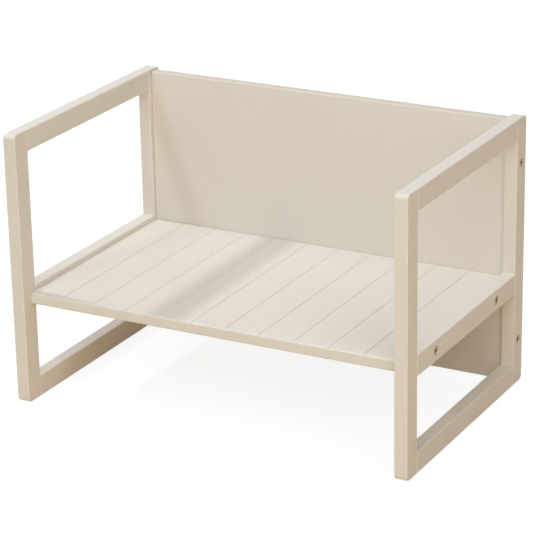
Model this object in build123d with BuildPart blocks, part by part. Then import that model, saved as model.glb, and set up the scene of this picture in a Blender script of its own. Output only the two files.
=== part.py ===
"""Children's turn-over bench: two open side frames joined by a grooved seat board and a back panel.

Millimetres. +X is the sitter's left (right in the front view), +Y runs to the back, +Z is up.
The origin is on the floor, in the middle of the bench.
"""

import os

from build123d import *

# Overall size of the bench
overall_width = 600.0
overall_depth = 380.0
overall_height = 390.0

# Side frames: every post and rail is cut from the same stock
member_thickness = 19.0
member_width = 30.0
frame_corner_radius = 7.0
ease_radius = 1.2
seat_axis_height = 151.5

# Seat board and back panel
board_thickness = 16.0
seat_front_setback = 16.0
seat_front_radius = 2.5
board_edge_radius = 2.5
panel_end_inset = 3.0

# Fine V-grooves that divide the seat top into strips
strip_count = 11
groove_width = 1.6
groove_depth = 1.1

# Wooden dowels in the frame joints
dowel_diameter = 8.0
dowel_length = 30.0
dowel_spacing = 14.0
dowel_clearance = 0.1
dowel_end_space = 0.5
dowel_chamfer = 0.8

# Hexagon socket bolts through the frames into the ends of the boards
bolt_diameter = 6.0
bolt_head_diameter = 12.5
bolt_head_height = 6.0
bolt_head_recess = 0.5
bolt_overrun = 8.0
bolt_chamfer = 0.6
socket_across_flats = 5.0
socket_depth = 3.0
bolt_clearance = 0.3
head_clearance = 0.3
seat_bolt_inset = 71.0
back_bolt_inset = 65.0

# Barrel nuts, let into the boards across the bolts
nut_diameter = 10.0
nut_inset = 30.0
nut_cover = 2.0
nut_clearance = 0.1
thread_clearance = 0.1
nut_slot_width = 1.6
nut_slot_depth = 1.5
bolt_tip_space = 4.0

# Places worked out from the sizes above
half_width = overall_width / 2
half_depth = overall_depth / 2
inner_face = half_width - member_thickness
frame_middle = half_width - member_thickness / 2
post_middle = half_depth - member_width / 2
rail_length = overall_depth - 2 * member_width
board_width = 2 * inner_face
panel_front = post_middle - board_thickness / 2
panel_height = overall_height - 2 * panel_end_inset
seat_front = -half_depth + seat_front_setback
seat_depth = panel_front - seat_front
seat_middle = seat_front + seat_depth / 2
strip_width = board_width / strip_count

rail_heights = {
    "top": overall_height - member_width / 2,
    "seat": seat_axis_height,
    "bottom": member_width / 2,
}
sides = {"left": -1, "right": 1}
seat_bolt_places = [seat_front + seat_bolt_inset, panel_front - seat_bolt_inset]
back_bolt_heights = [back_bolt_inset, overall_height - back_bolt_inset]

head_bore_depth = bolt_head_height + bolt_head_recess
bolt_length = member_thickness - head_bore_depth + nut_inset + bolt_overrun
bolt_hole_radius = bolt_diameter / 2 + bolt_clearance
bolt_hole_depth = nut_inset + bolt_overrun + bolt_tip_space
nut_length = board_thickness - 2 * nut_cover
nut_pocket_depth = board_thickness - nut_cover


def save(piece, name):
    """Label a finished piece and write it to its own file."""
    piece.part.label = name
    export_step(piece.part, f"parts/{name}.step")


def bolt_planes(side, face, places):
    """Planes at one frame's bolt axes, at the distance `face` from the middle, facing outwards."""
    return [Plane(origin=(side * face, y, z), x_dir=(0, 1, 0), z_dir=(side, 0, 0)) for y, z in places]


def seat_bolts():
    """Depth and height of the bolts through one seat rail."""
    return [(y, seat_axis_height) for y in seat_bolt_places]


def back_bolts():
    """Depth and height of the bolts through one rear post."""
    return [(post_middle, z) for z in back_bolt_heights]


def dowel_planes(direction, depth_place, heights, side):
    """Planes at the dowel axes of a joint face, looking along +Y or -Y."""
    axes = [z + step * dowel_spacing / 2 for z in heights for step in (-1, 1)]
    return [
        Plane(origin=(side * frame_middle, depth_place, z), x_dir=(1, 0, 0), z_dir=(0, direction, 0))
        for z in axes
    ]


def drill_dowels(planes):
    """Blind dowel holes from the given joint face into the piece being made."""
    with Locations(*planes):
        Hole(dowel_diameter / 2 + dowel_clearance, dowel_length / 2 + dowel_end_space)


def drill_bolts(planes):
    """Counterbored bolt holes right through the frame member being made."""
    with Locations(*planes):
        CounterBoreHole(
            bolt_hole_radius,
            bolt_head_diameter / 2 + head_clearance,
            head_bore_depth,
            member_thickness,
        )


def make_post(name, side, front):
    """A full-height post: `front` is -1 for the front post and 1 for the rear one."""
    with BuildPart() as post:
        with BuildSketch(Plane.YZ.offset(side * frame_middle)):
            with Locations((front * post_middle, overall_height / 2)):
                Rectangle(member_width, overall_height)
            outer_corners = vertices().group_by(Axis.X)[0 if front < 0 else -1]
            fillet(outer_corners, frame_corner_radius)
        extrude(amount=member_thickness / 2, both=True)
        fillet(faces().filter_by(Axis.X).edges(), ease_radius)
        joint_face = front * (half_depth - member_width)
        drill_dowels(dowel_planes(-front, joint_face, rail_heights.values(), side))
        if front > 0:
            drill_bolts(bolt_planes(side, half_width, back_bolts()))
    save(post, name)


def make_rail(name, side, height, bolts):
    """A rail between the two posts, with its middle at the given height."""
    with BuildPart() as rail:
        with BuildSketch(Plane.XZ):
            with Locations((side * frame_middle, height)):
                Rectangle(member_thickness, member_width)
        extrude(amount=rail_length / 2, both=True)
        fillet(faces().filter_by(Axis.X).edges(), ease_radius)
        for end in (-1, 1):
            drill_dowels(dowel_planes(end, end * rail_length / 2, [height], side))
        if bolts:
            drill_bolts(bolt_planes(side, half_width, bolts))
    save(rail, name)


def make_dowels(name, side, height):
    """The four dowels of one rail, half in the rail and half in the posts."""
    planes = [
        plane
        for end in (-1, 1)
        for plane in dowel_planes(end, end * rail_length / 2, [height], side)
    ]
    with BuildPart() as dowels:
        with BuildSketch(*planes):
            Circle(dowel_diameter / 2)
        extrude(amount=dowel_length / 2, both=True)
        chamfer(edges().filter_by(GeomType.CIRCLE), dowel_chamfer)
    save(dowels, name)


def make_bolts(name, planes):
    """A group of hexagon socket bolts, heads just below the frame's outer face."""
    heads = [plane.offset(-bolt_head_recess) for plane in planes]
    shoulders = [plane.offset(-head_bore_depth) for plane in planes]
    with BuildPart() as bolts:
        with BuildSketch(*heads):
            Circle(bolt_head_diameter / 2)
        extrude(amount=-bolt_head_height)
        chamfer(edges().filter_by(GeomType.CIRCLE), bolt_chamfer)
        with BuildSketch(*shoulders):
            Circle(bolt_diameter / 2)
        extrude(amount=-bolt_length)
        tips = faces().filter_by(Axis.X).group_by(SortBy.AREA)[0]
        chamfer(tips.edges(), bolt_chamfer)
        with BuildSketch(*heads):
            RegularPolygon(socket_across_flats / 2, 6, major_radius=False)
        extrude(amount=-socket_depth, mode=Mode.SUBTRACT)
    save(bolts, name)


def make_nuts(name, planes, open_end):
    """Barrel nuts across the bolts, with a slot at the end that shows in the board's face."""
    crossings = [
        Plane(origin=plane.offset(-nut_inset).origin, x_dir=plane.z_dir, z_dir=open_end) for plane in planes
    ]
    with BuildPart() as nuts:
        with BuildSketch(*crossings):
            Circle(nut_diameter / 2)
        extrude(amount=nut_length / 2, both=True)
        with BuildSketch(*planes):
            Circle(bolt_diameter / 2 + thread_clearance)
        extrude(amount=-2 * nut_inset, mode=Mode.SUBTRACT)
        with BuildSketch(*[plane.offset(nut_length / 2) for plane in crossings]):
            Rectangle(nut_diameter, nut_slot_width)
        extrude(amount=-nut_slot_depth, mode=Mode.SUBTRACT)
    save(nuts, name)


def drill_board(planes, open_face, open_end):
    """Bolt holes in a board's end, and the pockets for their barrel nuts from one face."""
    with Locations(*planes):
        Hole(bolt_hole_radius, bolt_hole_depth)
    pockets = []
    for plane in planes:
        axis = plane.offset(-nut_inset).origin
        pockets.append(Plane(origin=axis + open_face * open_end, x_dir=plane.z_dir, z_dir=open_end))
    with Locations(*pockets):
        Hole(nut_diameter / 2 + nut_clearance, nut_pocket_depth)


down = Vector(0, 0, -1)
back = Vector(0, 1, 0)
os.makedirs("parts", exist_ok=True)

# Side frames, their dowels and the hardware that fixes the boards to them
for side_name, side in sides.items():
    make_post(f"{side_name}_front_post", side, -1)
    make_post(f"{side_name}_rear_post", side, 1)
    for rail_name, height in rail_heights.items():
        bolts = seat_bolts() if rail_name == "seat" else []
        make_rail(f"{side_name}_{rail_name}_rail", side, height, bolts)
        make_dowels(f"{side_name}_{rail_name}_rail_dowels", side, height)
    make_bolts(f"{side_name}_seat_bolts", bolt_planes(side, half_width, seat_bolts()))
    make_bolts(f"{side_name}_back_bolts", bolt_planes(side, half_width, back_bolts()))
    make_nuts(f"{side_name}_seat_nuts", bolt_planes(side, inner_face, seat_bolts()), down)
    make_nuts(f"{side_name}_back_nuts", bolt_planes(side, inner_face, back_bolts()), back)

# Seat board, grooved from front to back on its upper face
with BuildPart() as seat_board:
    with BuildSketch(Plane.YZ):
        with Locations((seat_middle, seat_axis_height)):
            Rectangle(seat_depth, board_thickness)
        fillet(vertices().group_by(Axis.X)[0], seat_front_radius)
        fillet(vertices().group_by(Axis.X)[-1], board_edge_radius)
    extrude(amount=board_width / 2, both=True)
    fillet(faces().filter_by(Axis.X).edges(), ease_radius)
    with BuildSketch(Plane.XZ.offset(-panel_front)):
        with Locations((0, seat_axis_height + board_thickness / 2)):
            with GridLocations(strip_width, 0, strip_count - 1, 1):
                Polygon((-groove_width / 2, 0), (groove_width / 2, 0), (0, -groove_depth), align=None)
    extrude(amount=seat_depth, mode=Mode.SUBTRACT)
    for side in sides.values():
        drill_board(bolt_planes(side, inner_face, seat_bolts()), board_thickness / 2, down)
save(seat_board, "seat_board")

# Back panel, from just above the floor to just below the top of the frames
with BuildPart() as back_panel:
    with BuildSketch(Plane.YZ):
        with Locations((post_middle, overall_height / 2)):
            Rectangle(board_thickness, panel_height)
        fillet(vertices(), board_edge_radius)
    extrude(amount=board_width / 2, both=True)
    fillet(faces().filter_by(Axis.X).edges(), ease_radius)
    for side in sides.values():
        drill_board(bolt_planes(side, inner_face, back_bolts()), board_thickness / 2, back)
save(back_panel, "back_panel")
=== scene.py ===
"""Looks of the children's turn-over bench: satin lacquer, steel and beech finishes, studio and camera.

Metres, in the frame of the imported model: +X to the right from the front, +Y to the back panel, +Z up.
"""

import math

import bpy
from mathutils import Matrix, Vector


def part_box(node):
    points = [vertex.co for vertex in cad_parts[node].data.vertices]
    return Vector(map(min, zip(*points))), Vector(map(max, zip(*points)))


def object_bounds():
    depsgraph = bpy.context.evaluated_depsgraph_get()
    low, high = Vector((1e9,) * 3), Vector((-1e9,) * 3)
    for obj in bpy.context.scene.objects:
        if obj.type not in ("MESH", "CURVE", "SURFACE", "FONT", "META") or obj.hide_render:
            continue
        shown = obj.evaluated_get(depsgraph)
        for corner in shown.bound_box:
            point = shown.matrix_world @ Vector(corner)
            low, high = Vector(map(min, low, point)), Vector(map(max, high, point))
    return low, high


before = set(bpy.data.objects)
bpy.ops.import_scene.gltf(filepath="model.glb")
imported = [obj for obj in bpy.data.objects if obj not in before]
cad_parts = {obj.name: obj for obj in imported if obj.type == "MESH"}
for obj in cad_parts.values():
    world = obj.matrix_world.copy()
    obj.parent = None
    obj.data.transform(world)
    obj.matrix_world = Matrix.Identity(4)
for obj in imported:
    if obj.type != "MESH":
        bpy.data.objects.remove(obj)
cad_low, cad_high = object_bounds()

# Camera: a plain pinhole that fits the photograph's edges; degrees, and millimetres for the sensor
IMAGE_SIDE = 550
SENSOR_WIDTH = 36.0
FOCAL_PIXELS = 2400.0
CAMERA_AZIMUTH = 28.46
CAMERA_ELEVATION = 20.74
CAMERA_ROLL = -1.05
CAMERA_DISTANCE = 3.311
CAMERA_REACH = 100.0
CENTRE_PIXEL = (269.0, 259.4)

# Finishes, as linear colours
CREAM = (0.745, 0.695, 0.610)
# deeper cream for clouding and grain; also painted shade inside the seat's grooves
CREAM_SHADE = (0.690, 0.630, 0.535)
# paler cream for the edges: partly rubbed-thin paint, partly painted highlight
CREAM_RUB_AND_HIGHLIGHT = (0.800, 0.755, 0.680)
# painted highlight along the seams at the rails' ends
CREAM_SEAM_HIGHLIGHT = (0.920, 0.890, 0.840)
# painted shade along the back panel's upper and lower edges
CREAM_PANEL_EDGE_SHADE = (0.665, 0.605, 0.505)
BEECH = (0.560, 0.365, 0.195)
BEECH_RAY = (0.420, 0.245, 0.115)
BRONZE = (0.390, 0.315, 0.175)
BRONZE_DARK = (0.200, 0.155, 0.080)
ZINC = (0.560, 0.560, 0.545)
ZINC_DARK = (0.330, 0.330, 0.330)
WHITE = (1.0, 1.0, 1.0)

# Lacquer: a scale is the noise's frequency per metre, a range is the noise levels between which a detail
# sets in, and a share is how strongly it shows
CLOUD_SCALE = 9.0
CLOUD_RANGE = (0.30, 0.72)
CLOUD_SHARE = 0.16
FIBRE_SCALE = 420.0
FIBRE_STRETCH = 0.035
FIBRE_RANGE = (0.42, 0.80)
# Edge rub: partly wear, partly painted highlight on the pieces' edges
RUB_AND_HIGHLIGHT_SCALE = 60.0
RUB_AND_HIGHLIGHT_RANGE = (0.35, 0.70)
RUB_AND_HIGHLIGHT_SHARES = (0.10, 0.55)
EDGE_RUB_AND_HIGHLIGHT_WIDTH = 0.0030
SHEEN_SCALE = 35.0
SHEEN_RANGE = (0.25, 0.75)
SATIN_ROUGHNESS = (0.40, 0.50)
LACQUER_GLOSS = 0.15
PEEL_SCALE = 620.0
LACQUER_BUMP = 0.5
LACQUER_RELIEF = 0.00006
BAR_GRAIN = 0.20
BAR_PEEL = 0.5
BOARD_GRAIN = 0.05
BOARD_PEEL = 1.0

# Panel edges: how far their painted shade reaches
PANEL_EDGE_SHADE_DEPTH = 0.0045

# Painted highlight on the seams: its width from a rail's end, its depth from the frame's outside, its
# strength by end
SEAM_HIGHLIGHT_WIDTH = 0.0035
SEAM_HIGHLIGHT_DEPTH = 0.0012
SEAM_HIGHLIGHT_FRONT = 0.40
SEAM_HIGHLIGHT_REAR = 1.00

# Seat grooves: the depths where the painted shade starts and where a groove ends
GROOVE_SHADE_START = 0.00025
GROOVE_DEPTH = 0.0011

# Bare beech, with the grain drawn out along the dowels
RAY_SCALE = 900.0
RAY_STRETCH = 0.06
RAY_RANGE = (0.50, 0.72)
RAY_SHARE = 0.75
GROWTH_SCALE = 260.0
GROWTH_STRETCH = 0.02
GROWTH_RANGE = (0.30, 0.70)
GROWTH_SHARE = 0.30
BEECH_SHEEN_RANGE = (0.2, 0.8)
BEECH_ROUGHNESS = (0.55, 0.70)
BEECH_BUMP = 0.4
BEECH_RELIEF = 0.0001

# Plated steel
BLOTCH_SCALE = 380.0
BLOTCH_RANGE = (0.35, 0.72)
BLOTCH_SHARE = 0.8
STEEL_SHEEN_RANGE = (0.25, 0.75)
BLOTCH_ROUGHNESS = 0.16
SCRATCH_SCALE = 4200.0
SCRATCH_STRETCH = 0.08
SCRATCH_RANGE = (0.55, 0.80)
SCRATCH_SHARE = 0.35
SCRATCH_BUMP = 0.3
SCRATCH_RELIEF = 0.00004
BRONZE_ROUGHNESS = 0.34
ZINC_ROUGHNESS = 0.28

# Studio: the floor's glow rises to full white between the near and the far distance from the bench
WORLD_COLOUR = (1.0, 0.85, 0.60)
WORLD_STRENGTH = 0.06
FLOOR_BOUNCE = (0.80, 0.66, 0.44)
FLOOR_DIFFUSE = (0.22, 0.22, 0.22)
FLOOR_GLOW = 0.86
FLOOR_NEAR = 0.90
FLOOR_FAR = 2.20
FLOOR_SIDE = 14.0
FLOOR_LEVEL = -0.0005

# Lamps: direction from the bench, distance, level and upright size, watts, colour
LAMPS = {
    "left_key": ((-0.730, 0.020, 0.683), 3.33, (0.30, 0.15), 34.5, (0.90, 0.93, 1.00)),
    "front_key": ((-0.270, -0.790, 0.550), 3.0, (0.20, 0.20), 9.0, (0.59, 0.76, 1.00)),
    "front_softbox": ((0.000, -0.650, 0.760), 4.2, (3.60, 2.20), 13.5, (0.45, 0.70, 1.00)),
    "front_fill": ((0.000, -0.970, 0.250), 4.2, (3.60, 1.60), 21.5, (0.94, 0.98, 1.00)),
    "right_softbox": ((0.450, -0.550, 0.700), 3.8, (3.60, 2.80), 67.0, (0.96, 0.97, 1.00)),
    "right_fill": ((0.700, -0.650, 0.300), 3.0, (1.60, 1.40), 13.0, (1.00, 0.78, 0.62)),
    "left_softbox": ((-0.500, 0.150, 0.850), 3.0, (2.40, 1.60), 14.0, (1.00, 0.95, 0.93)),
    "ceiling": ((0.000, -0.100, 0.995), 3.5, (4.00, 3.40), 34.0, (0.95, 0.96, 1.00)),
    "rear_fill": ((0.000, 0.995, 0.100), 3.0, (0.80, 0.60), 42.0, (0.95, 0.96, 1.00)),
}
NO_HIGHLIGHT = ("rear_fill",)

# Bars of a side frame and the axis along each
X_AXIS, Y_AXIS, Z_AXIS = range(3)
FRAME_BARS = {
    "front_post": Z_AXIS,
    "rear_post": Z_AXIS,
    "top_rail": Y_AXIS,
    "seat_rail": Y_AXIS,
    "bottom_rail": Y_AXIS,
}


# Places of the two colours and the result on Blender's mix node
MIX_FIRST = 6
MIX_SECOND = 7
MIX_RESULT = 2


def opaque(colour):
    """A colour with the fourth number that Blender's colour sockets need."""
    return (*colour, 1.0)


class Graph:
    """The node tree of a material or a world, with short calls that add a node and wire its inputs."""

    def __init__(self, owner, output_kind):
        owner.use_nodes = True
        self.owner = owner
        self.tree = owner.node_tree
        self.tree.nodes.clear()
        self.output = self.tree.nodes.new(output_kind)

    def node(self, kind, inputs=None, **settings):
        """Add a node; an input is a value or another node's socket."""
        made = self.tree.nodes.new(kind)
        for key, value in settings.items():
            setattr(made, key, value)
        for key, value in (inputs or {}).items():
            self.feed(made.inputs[key], value)
        return made

    def feed(self, socket, value):
        """Link a socket to another node's socket, or set its plain value."""
        if isinstance(value, bpy.types.NodeSocket):
            self.tree.links.new(value, socket)
        else:
            socket.default_value = value

    def show(self, shader):
        """Wire the last shader to the tree's output."""
        self.tree.links.new(shader.outputs[0], self.output.inputs["Surface"])

    def math(self, operation, first, second=0.0, third=0.0):
        """The result of one operation on plain numbers."""
        made = self.node("ShaderNodeMath", {0: first, 1: second, 2: third}, operation=operation)
        return made.outputs[0]

    def vector(self, operation, first, second):
        """The result of one operation on two vectors."""
        made = self.node("ShaderNodeVectorMath", {0: first, 1: second}, operation=operation)
        return made.outputs[0]

    def ramp(self, value, low, high, start, end):
        """A smooth step of value from low to high, going from start to end."""
        made = self.node(
            "ShaderNodeMapRange",
            {"Value": value, "From Min": low, "From Max": high, "To Min": start, "To Max": end},
            interpolation_type="SMOOTHSTEP",
        )
        return made.outputs["Result"]

    def mix(self, share, first, second):
        """The first colour, with a share of the second over it."""
        made = self.node("ShaderNodeMix", data_type="RGBA", blend_type="MIX")
        self.feed(made.inputs[0], share)
        for socket, colour in ((MIX_FIRST, first), (MIX_SECOND, second)):
            if isinstance(colour, tuple):
                colour = opaque(colour)
            self.feed(made.inputs[socket], colour)
        return made.outputs[MIX_RESULT]

    def place(self):
        """The point on the object, in metres."""
        return self.node("ShaderNodeTexCoord").outputs["Object"]

    def split(self, vector):
        """The three parts of a vector."""
        return self.node("ShaderNodeSeparateXYZ", {0: vector}).outputs

    def noise(self, place, scale, detail=2.0, roughness=0.5, distortion=0.0):
        """Soft noise between 0 and 1."""
        inputs = {
            "Vector": place,
            "Scale": scale,
            "Detail": detail,
            "Roughness": roughness,
            "Distortion": distortion,
        }
        return self.node("ShaderNodeTexNoise", inputs).outputs["Fac"]

    def bump(self, height, strength, distance):
        """Fine relief as a normal."""
        inputs = {"Strength": strength, "Distance": distance, "Height": height}
        return self.node("ShaderNodeBump", inputs).outputs[0]

    def seen(self):
        """1 for rays from the camera and for mirror or see-through rays, 0 for light that bounces."""
        path = self.node("ShaderNodeLightPath").outputs
        direct = self.math("MAXIMUM", path["Is Camera Ray"], path["Is Glossy Ray"])
        return self.math("MAXIMUM", direct, path["Is Transmission Ray"])

    def surface(self, **inputs):
        """End the tree with the principled shader, its inputs given by name, and return the material."""
        shader = self.node("ShaderNodeBsdfPrincipled")
        for key, value in inputs.items():
            self.feed(shader.inputs[key.replace("_", " ")], value)
        self.show(shader)
        return self.owner


def material_graph(name):
    """A new material with an empty node tree."""
    return Graph(bpy.data.materials.new(name), "ShaderNodeOutputMaterial")


def edge_distance(graph, place, low, high):
    """Distance of a surface point from the nearest edge of its piece's box."""
    centre = (low + high) / 2
    half = (high - low) / 2
    offset = graph.vector("SUBTRACT", place, tuple(centre))
    size = graph.node("ShaderNodeVectorMath", {0: offset}, operation="ABSOLUTE").outputs[0]
    inside = graph.vector("SUBTRACT", tuple(half), size)
    parts = graph.split(inside)
    most = graph.math("MAXIMUM", graph.math("MAXIMUM", parts[0], parts[1]), parts[2])
    least = graph.math("MINIMUM", graph.math("MINIMUM", parts[0], parts[1]), parts[2])
    total = graph.math("ADD", graph.math("ADD", parts[0], parts[1]), parts[2])
    return graph.math("SUBTRACT", graph.math("SUBTRACT", total, most), least)


def lacquer(name, low, high, along, grain, peel):
    """Sprayed satin lacquer: faint clouding, grain that shows along the piece, edges paler in patches from
    rubbed-thin paint and painted highlight, orange peel.

    Returns the graph, the colour so far and the shader's other inputs.
    """
    graph = material_graph(name)
    place = graph.place()
    stretch = [1.0, 1.0, 1.0]
    stretch[along] = FIBRE_STRETCH
    drawn_out = graph.vector("MULTIPLY", place, tuple(stretch))
    clouds = graph.noise(place, CLOUD_SCALE, detail=3.0)
    fibres = graph.noise(drawn_out, FIBRE_SCALE, detail=4.0, roughness=0.6, distortion=0.4)
    colour = graph.mix(graph.ramp(clouds, *CLOUD_RANGE, 0.0, CLOUD_SHARE), CREAM, CREAM_SHADE)
    colour = graph.mix(graph.ramp(fibres, *FIBRE_RANGE, 0.0, grain), colour, CREAM_SHADE)

    # edges paler in patches: partly rubbed-thin paint, partly painted highlight
    rub_and_highlight_noise = graph.noise(place, RUB_AND_HIGHLIGHT_SCALE, detail=4.0, roughness=0.65)
    rub_and_highlight_share = graph.ramp(rub_and_highlight_noise, *RUB_AND_HIGHLIGHT_RANGE, *RUB_AND_HIGHLIGHT_SHARES)
    edge = graph.ramp(edge_distance(graph, place, low, high), 0.0, EDGE_RUB_AND_HIGHLIGHT_WIDTH, 1.0, 0.0)
    colour = graph.mix(graph.math("MULTIPLY", edge, rub_and_highlight_share), colour, CREAM_RUB_AND_HIGHLIGHT)

    sheen_noise = graph.noise(place, SHEEN_SCALE, detail=3.0)
    skin = graph.noise(place, PEEL_SCALE, detail=1.5)
    relief = graph.math("MULTIPLY", skin, peel)
    relief = graph.math("MULTIPLY_ADD", fibres, grain, relief)
    finish = {
        "Roughness": graph.ramp(sheen_noise, *SHEEN_RANGE, *SATIN_ROUGHNESS),
        "Normal": graph.bump(relief, LACQUER_BUMP, LACQUER_RELIEF),
        "Specular_IOR_Level": LACQUER_GLOSS,
    }
    return graph, colour, finish


def frame_lacquer(node, along):
    """Lacquer on a bar of the side frames; on the outside a rail has a painted highlight at its ends, along
    the joints.
    """
    low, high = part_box(node)
    graph, colour, finish = lacquer(f"lacquer_{node}", low, high, along, BAR_GRAIN, BAR_PEEL)
    if along == Y_AXIS:
        across, depth, _ = graph.split(graph.place())
        from_end = graph.math("SUBTRACT", (high.y - low.y) / 2, graph.math("ABSOLUTE", depth))
        from_outside = graph.math("SUBTRACT", cad_high.x, graph.math("ABSOLUTE", across))
        # painted highlight along the seams on the frame's outside, stronger at the rear end
        seam_highlight = graph.math(
            "MULTIPLY",
            graph.ramp(from_end, 0.0, SEAM_HIGHLIGHT_WIDTH, 1.0, 0.0),
            graph.ramp(from_outside, SEAM_HIGHLIGHT_DEPTH, 2 * SEAM_HIGHLIGHT_DEPTH, 1.0, 0.0),
        )
        share = graph.ramp(depth, low.y, high.y, SEAM_HIGHLIGHT_FRONT, SEAM_HIGHLIGHT_REAR)
        colour = graph.mix(graph.math("MULTIPLY", seam_highlight, share), colour, CREAM_SEAM_HIGHLIGHT)
    return graph.surface(Base_Color=colour, **finish)


def panel_lacquer():
    """Lacquer on the smooth back panel, with painted shade along the board's upper and lower edges."""
    low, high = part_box("back_panel")
    graph, colour, finish = lacquer("lacquer_back_panel", low, high, X_AXIS, BOARD_GRAIN, BOARD_PEEL)
    height = graph.split(graph.place())[Z_AXIS]
    from_middle = graph.math("ABSOLUTE", graph.math("SUBTRACT", height, (low.z + high.z) / 2))
    from_edge = graph.math("SUBTRACT", (high.z - low.z) / 2, from_middle)
    # painted shade on the panel's upper and lower edges
    colour = graph.mix(graph.ramp(from_edge, 0.0, PANEL_EDGE_SHADE_DEPTH, 1.0, 0.0), colour, CREAM_PANEL_EDGE_SHADE)
    return graph.surface(Base_Color=colour, **finish)


def seat_lacquer():
    """Lacquer on the seat board, with painted shade inside the grooves."""
    low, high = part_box("seat_board")
    graph, colour, finish = lacquer("lacquer_seat_board", low, high, Y_AXIS, BOARD_GRAIN, BOARD_PEEL)
    height = graph.split(graph.place())[Z_AXIS]
    depth = graph.math("SUBTRACT", high.z, height)
    # painted shade inside the seat's grooves, in the deeper cream
    inside = graph.ramp(depth, GROOVE_SHADE_START, GROOVE_DEPTH, 0.0, 1.0)
    not_below = graph.ramp(depth, GROOVE_DEPTH, GROOVE_DEPTH + GROOVE_SHADE_START, 1.0, 0.0)
    colour = graph.mix(graph.math("MULTIPLY", inside, not_below), colour, CREAM_SHADE)
    return graph.surface(Base_Color=colour, **finish)


def beech():
    """Bare turned beech for the hidden dowels, with short darker rays along the grain."""
    graph = material_graph("bare_beech")
    place = graph.place()
    ray_place = graph.vector("MULTIPLY", place, (1.0, RAY_STRETCH, 1.0))
    growth_place = graph.vector("MULTIPLY", place, (1.0, GROWTH_STRETCH, 1.0))
    rays = graph.noise(ray_place, RAY_SCALE, detail=3.0, distortion=0.3)
    growth = graph.noise(growth_place, GROWTH_SCALE)
    colour = graph.mix(graph.ramp(rays, *RAY_RANGE, 0.0, RAY_SHARE), BEECH, BEECH_RAY)
    colour = graph.mix(graph.ramp(growth, *GROWTH_RANGE, 0.0, GROWTH_SHARE), colour, BEECH_RAY)
    return graph.surface(
        Base_Color=colour,
        Roughness=graph.ramp(growth, *BEECH_SHEEN_RANGE, *BEECH_ROUGHNESS),
        Normal=graph.bump(rays, BEECH_BUMP, BEECH_RELIEF),
    )


def plated(name, bright, dark, roughness):
    """Plated steel with drawn scratches and tarnish in blotches."""
    graph = material_graph(name)
    place = graph.place()
    scratch_place = graph.vector("MULTIPLY", place, (SCRATCH_STRETCH, 1.0, 1.0))
    blotches = graph.noise(place, BLOTCH_SCALE, detail=4.0, roughness=0.6)
    scratches = graph.noise(scratch_place, SCRATCH_SCALE)
    colour = graph.mix(graph.ramp(blotches, *BLOTCH_RANGE, 0.0, BLOTCH_SHARE), bright, dark)
    colour = graph.mix(graph.ramp(scratches, *SCRATCH_RANGE, 0.0, SCRATCH_SHARE), colour, dark)
    return graph.surface(
        Base_Color=colour,
        Metallic=1.0,
        Roughness=graph.ramp(blotches, *STEEL_SHEEN_RANGE, roughness, roughness + BLOTCH_ROUGHNESS),
        Normal=graph.bump(scratches, SCRATCH_BUMP, SCRATCH_RELIEF),
    )


def dress(node, material):
    """Give a CAD node one material on all its faces."""
    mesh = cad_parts[node].data
    mesh.materials.clear()
    mesh.materials.append(material)
    mesh.polygons.foreach_set("material_index", [0] * len(mesh.polygons))


def dress_bench():
    """Give every CAD node its finish."""
    dowel_finish = beech()
    bolt_finish = plated("bronzed_steel", BRONZE, BRONZE_DARK, BRONZE_ROUGHNESS)
    nut_finish = plated("zinc_plated_steel", ZINC, ZINC_DARK, ZINC_ROUGHNESS)
    for side in ("left", "right"):
        for bar, along in FRAME_BARS.items():
            dress(f"{side}_{bar}", frame_lacquer(f"{side}_{bar}", along))
        for rail in ("top", "seat", "bottom"):
            dress(f"{side}_{rail}_rail_dowels", dowel_finish)
        for board in ("seat", "back"):
            dress(f"{side}_{board}_bolts", bolt_finish)
            dress(f"{side}_{board}_nuts", nut_finish)
    dress("seat_board", seat_lacquer())
    dress("back_panel", panel_lacquer())


def floor_finish():
    """White where it is seen, apart from the shadow; a pale warm floor for light that bounces."""
    graph = material_graph("studio_floor")
    bounce = graph.node("ShaderNodeBsdfDiffuse", {"Color": opaque(FLOOR_BOUNCE)})
    shaded = graph.node("ShaderNodeBsdfDiffuse", {"Color": opaque(FLOOR_DIFFUSE)})
    reach = graph.node("ShaderNodeVectorMath", {0: graph.place()}, operation="LENGTH").outputs["Value"]
    level = graph.ramp(reach, FLOOR_NEAR, FLOOR_FAR, FLOOR_GLOW, 1.0)
    glow = graph.node("ShaderNodeEmission", {"Color": opaque(WHITE), "Strength": level})
    shown = graph.node("ShaderNodeAddShader", {0: shaded.outputs[0], 1: glow.outputs[0]})
    top = graph.node("ShaderNodeMixShader", {0: graph.seen(), 1: bounce.outputs[0], 2: shown.outputs[0]})
    beneath = graph.node("ShaderNodeNewGeometry").outputs["Backfacing"]
    clear = graph.node("ShaderNodeBsdfTransparent")
    graph.show(graph.node("ShaderNodeMixShader", {0: beneath, 1: top.outputs[0], 2: clear.outputs[0]}))
    return graph.owner


def make_floor():
    """A floor a hair below the bench, clear from beneath so that the underside can be looked at."""
    half = FLOOR_SIDE / 2
    corners = [(x * half, y * half, FLOOR_LEVEL) for x, y in ((-1, -1), (1, -1), (1, 1), (-1, 1))]
    mesh = bpy.data.meshes.new("studio_floor")
    mesh.from_pydata(corners, [], [(0, 1, 2, 3)])
    mesh.materials.append(floor_finish())
    floor = bpy.data.objects.new("studio_floor", mesh)
    bpy.context.scene.collection.objects.link(floor)


def make_world():
    """Even warm surroundings for the light, plain white where they are seen."""
    world = bpy.data.worlds.new("studio_world")
    bpy.context.scene.world = world
    graph = Graph(world, "ShaderNodeOutputWorld")
    light = graph.node("ShaderNodeBackground", {"Color": opaque(WORLD_COLOUR), "Strength": WORLD_STRENGTH})
    white = graph.node("ShaderNodeBackground", {"Color": opaque(WHITE), "Strength": 1.0})
    graph.show(graph.node("ShaderNodeMixShader", {0: graph.seen(), 1: light.outputs[0], 2: white.outputs[0]}))


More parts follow.
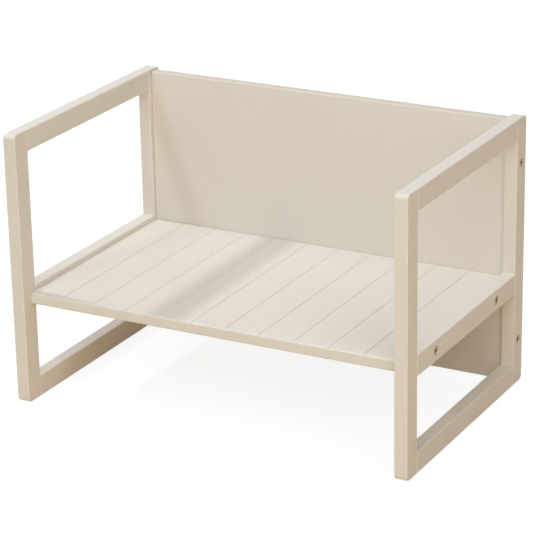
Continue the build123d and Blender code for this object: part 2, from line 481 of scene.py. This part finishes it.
def add_lamp(name, direction, distance, size, power, colour, aim):
    """A rectangular lamp that faces the bench; its first side lies level."""
    data = bpy.data.lights.new(name, "AREA")
    data.shape = "RECTANGLE"
    data.size, data.size_y = size
    data.energy = power
    data.color = colour
    lamp = bpy.data.objects.new(name, data)
    back = Vector(direction).normalized()
    lamp.location = aim + back * distance
    lamp.rotation_mode = "QUATERNION"
    lamp.rotation_quaternion = back.to_track_quat("Z", "Y")
    lamp.visible_camera = False
    lamp.visible_glossy = name not in NO_HIGHLIGHT
    bpy.context.scene.collection.objects.link(lamp)


def make_lamps():
    """All the lamps, aimed at the middle of the bench."""
    middle = (cad_low + cad_high) / 2
    for name, settings in LAMPS.items():
        add_lamp(name, *settings, middle)


def make_camera():
    """The photograph's camera, moved sideways so that the bench's middle falls on its pixel."""
    azimuth = math.radians(CAMERA_AZIMUTH)
    elevation = math.radians(CAMERA_ELEVATION)
    roll = math.radians(CAMERA_ROLL)
    back = Vector((
        math.sin(azimuth) * math.cos(elevation),
        -math.cos(azimuth) * math.cos(elevation),
        math.sin(elevation),
    ))
    level = Vector((math.cos(azimuth), math.sin(azimuth), 0.0))
    upright = back.cross(level)
    right = level * math.cos(roll) + upright * math.sin(roll)
    up = upright * math.cos(roll) - level * math.sin(roll)
    metres_per_pixel = CAMERA_DISTANCE / FOCAL_PIXELS
    across = (CENTRE_PIXEL[0] - IMAGE_SIDE / 2) * metres_per_pixel
    above = (IMAGE_SIDE / 2 - CENTRE_PIXEL[1]) * metres_per_pixel
    middle = (cad_low + cad_high) / 2
    data = bpy.data.cameras.new("photo_camera")
    data.sensor_fit = "HORIZONTAL"
    data.sensor_width = SENSOR_WIDTH
    data.lens = FOCAL_PIXELS / IMAGE_SIDE * SENSOR_WIDTH
    data.clip_end = CAMERA_REACH
    camera = bpy.data.objects.new("photo_camera", data)
    camera.matrix_world = Matrix.Translation(
        middle + back * CAMERA_DISTANCE - right * across - up * above
    ) @ Matrix((right, up, back)).transposed().to_4x4()
    bpy.context.scene.collection.objects.link(camera)
    bpy.context.scene.camera = camera


dress_bench()
make_floor()
make_world()
make_lamps()
make_camera()
bpy.context.scene.view_settings.view_transform = "Standard"
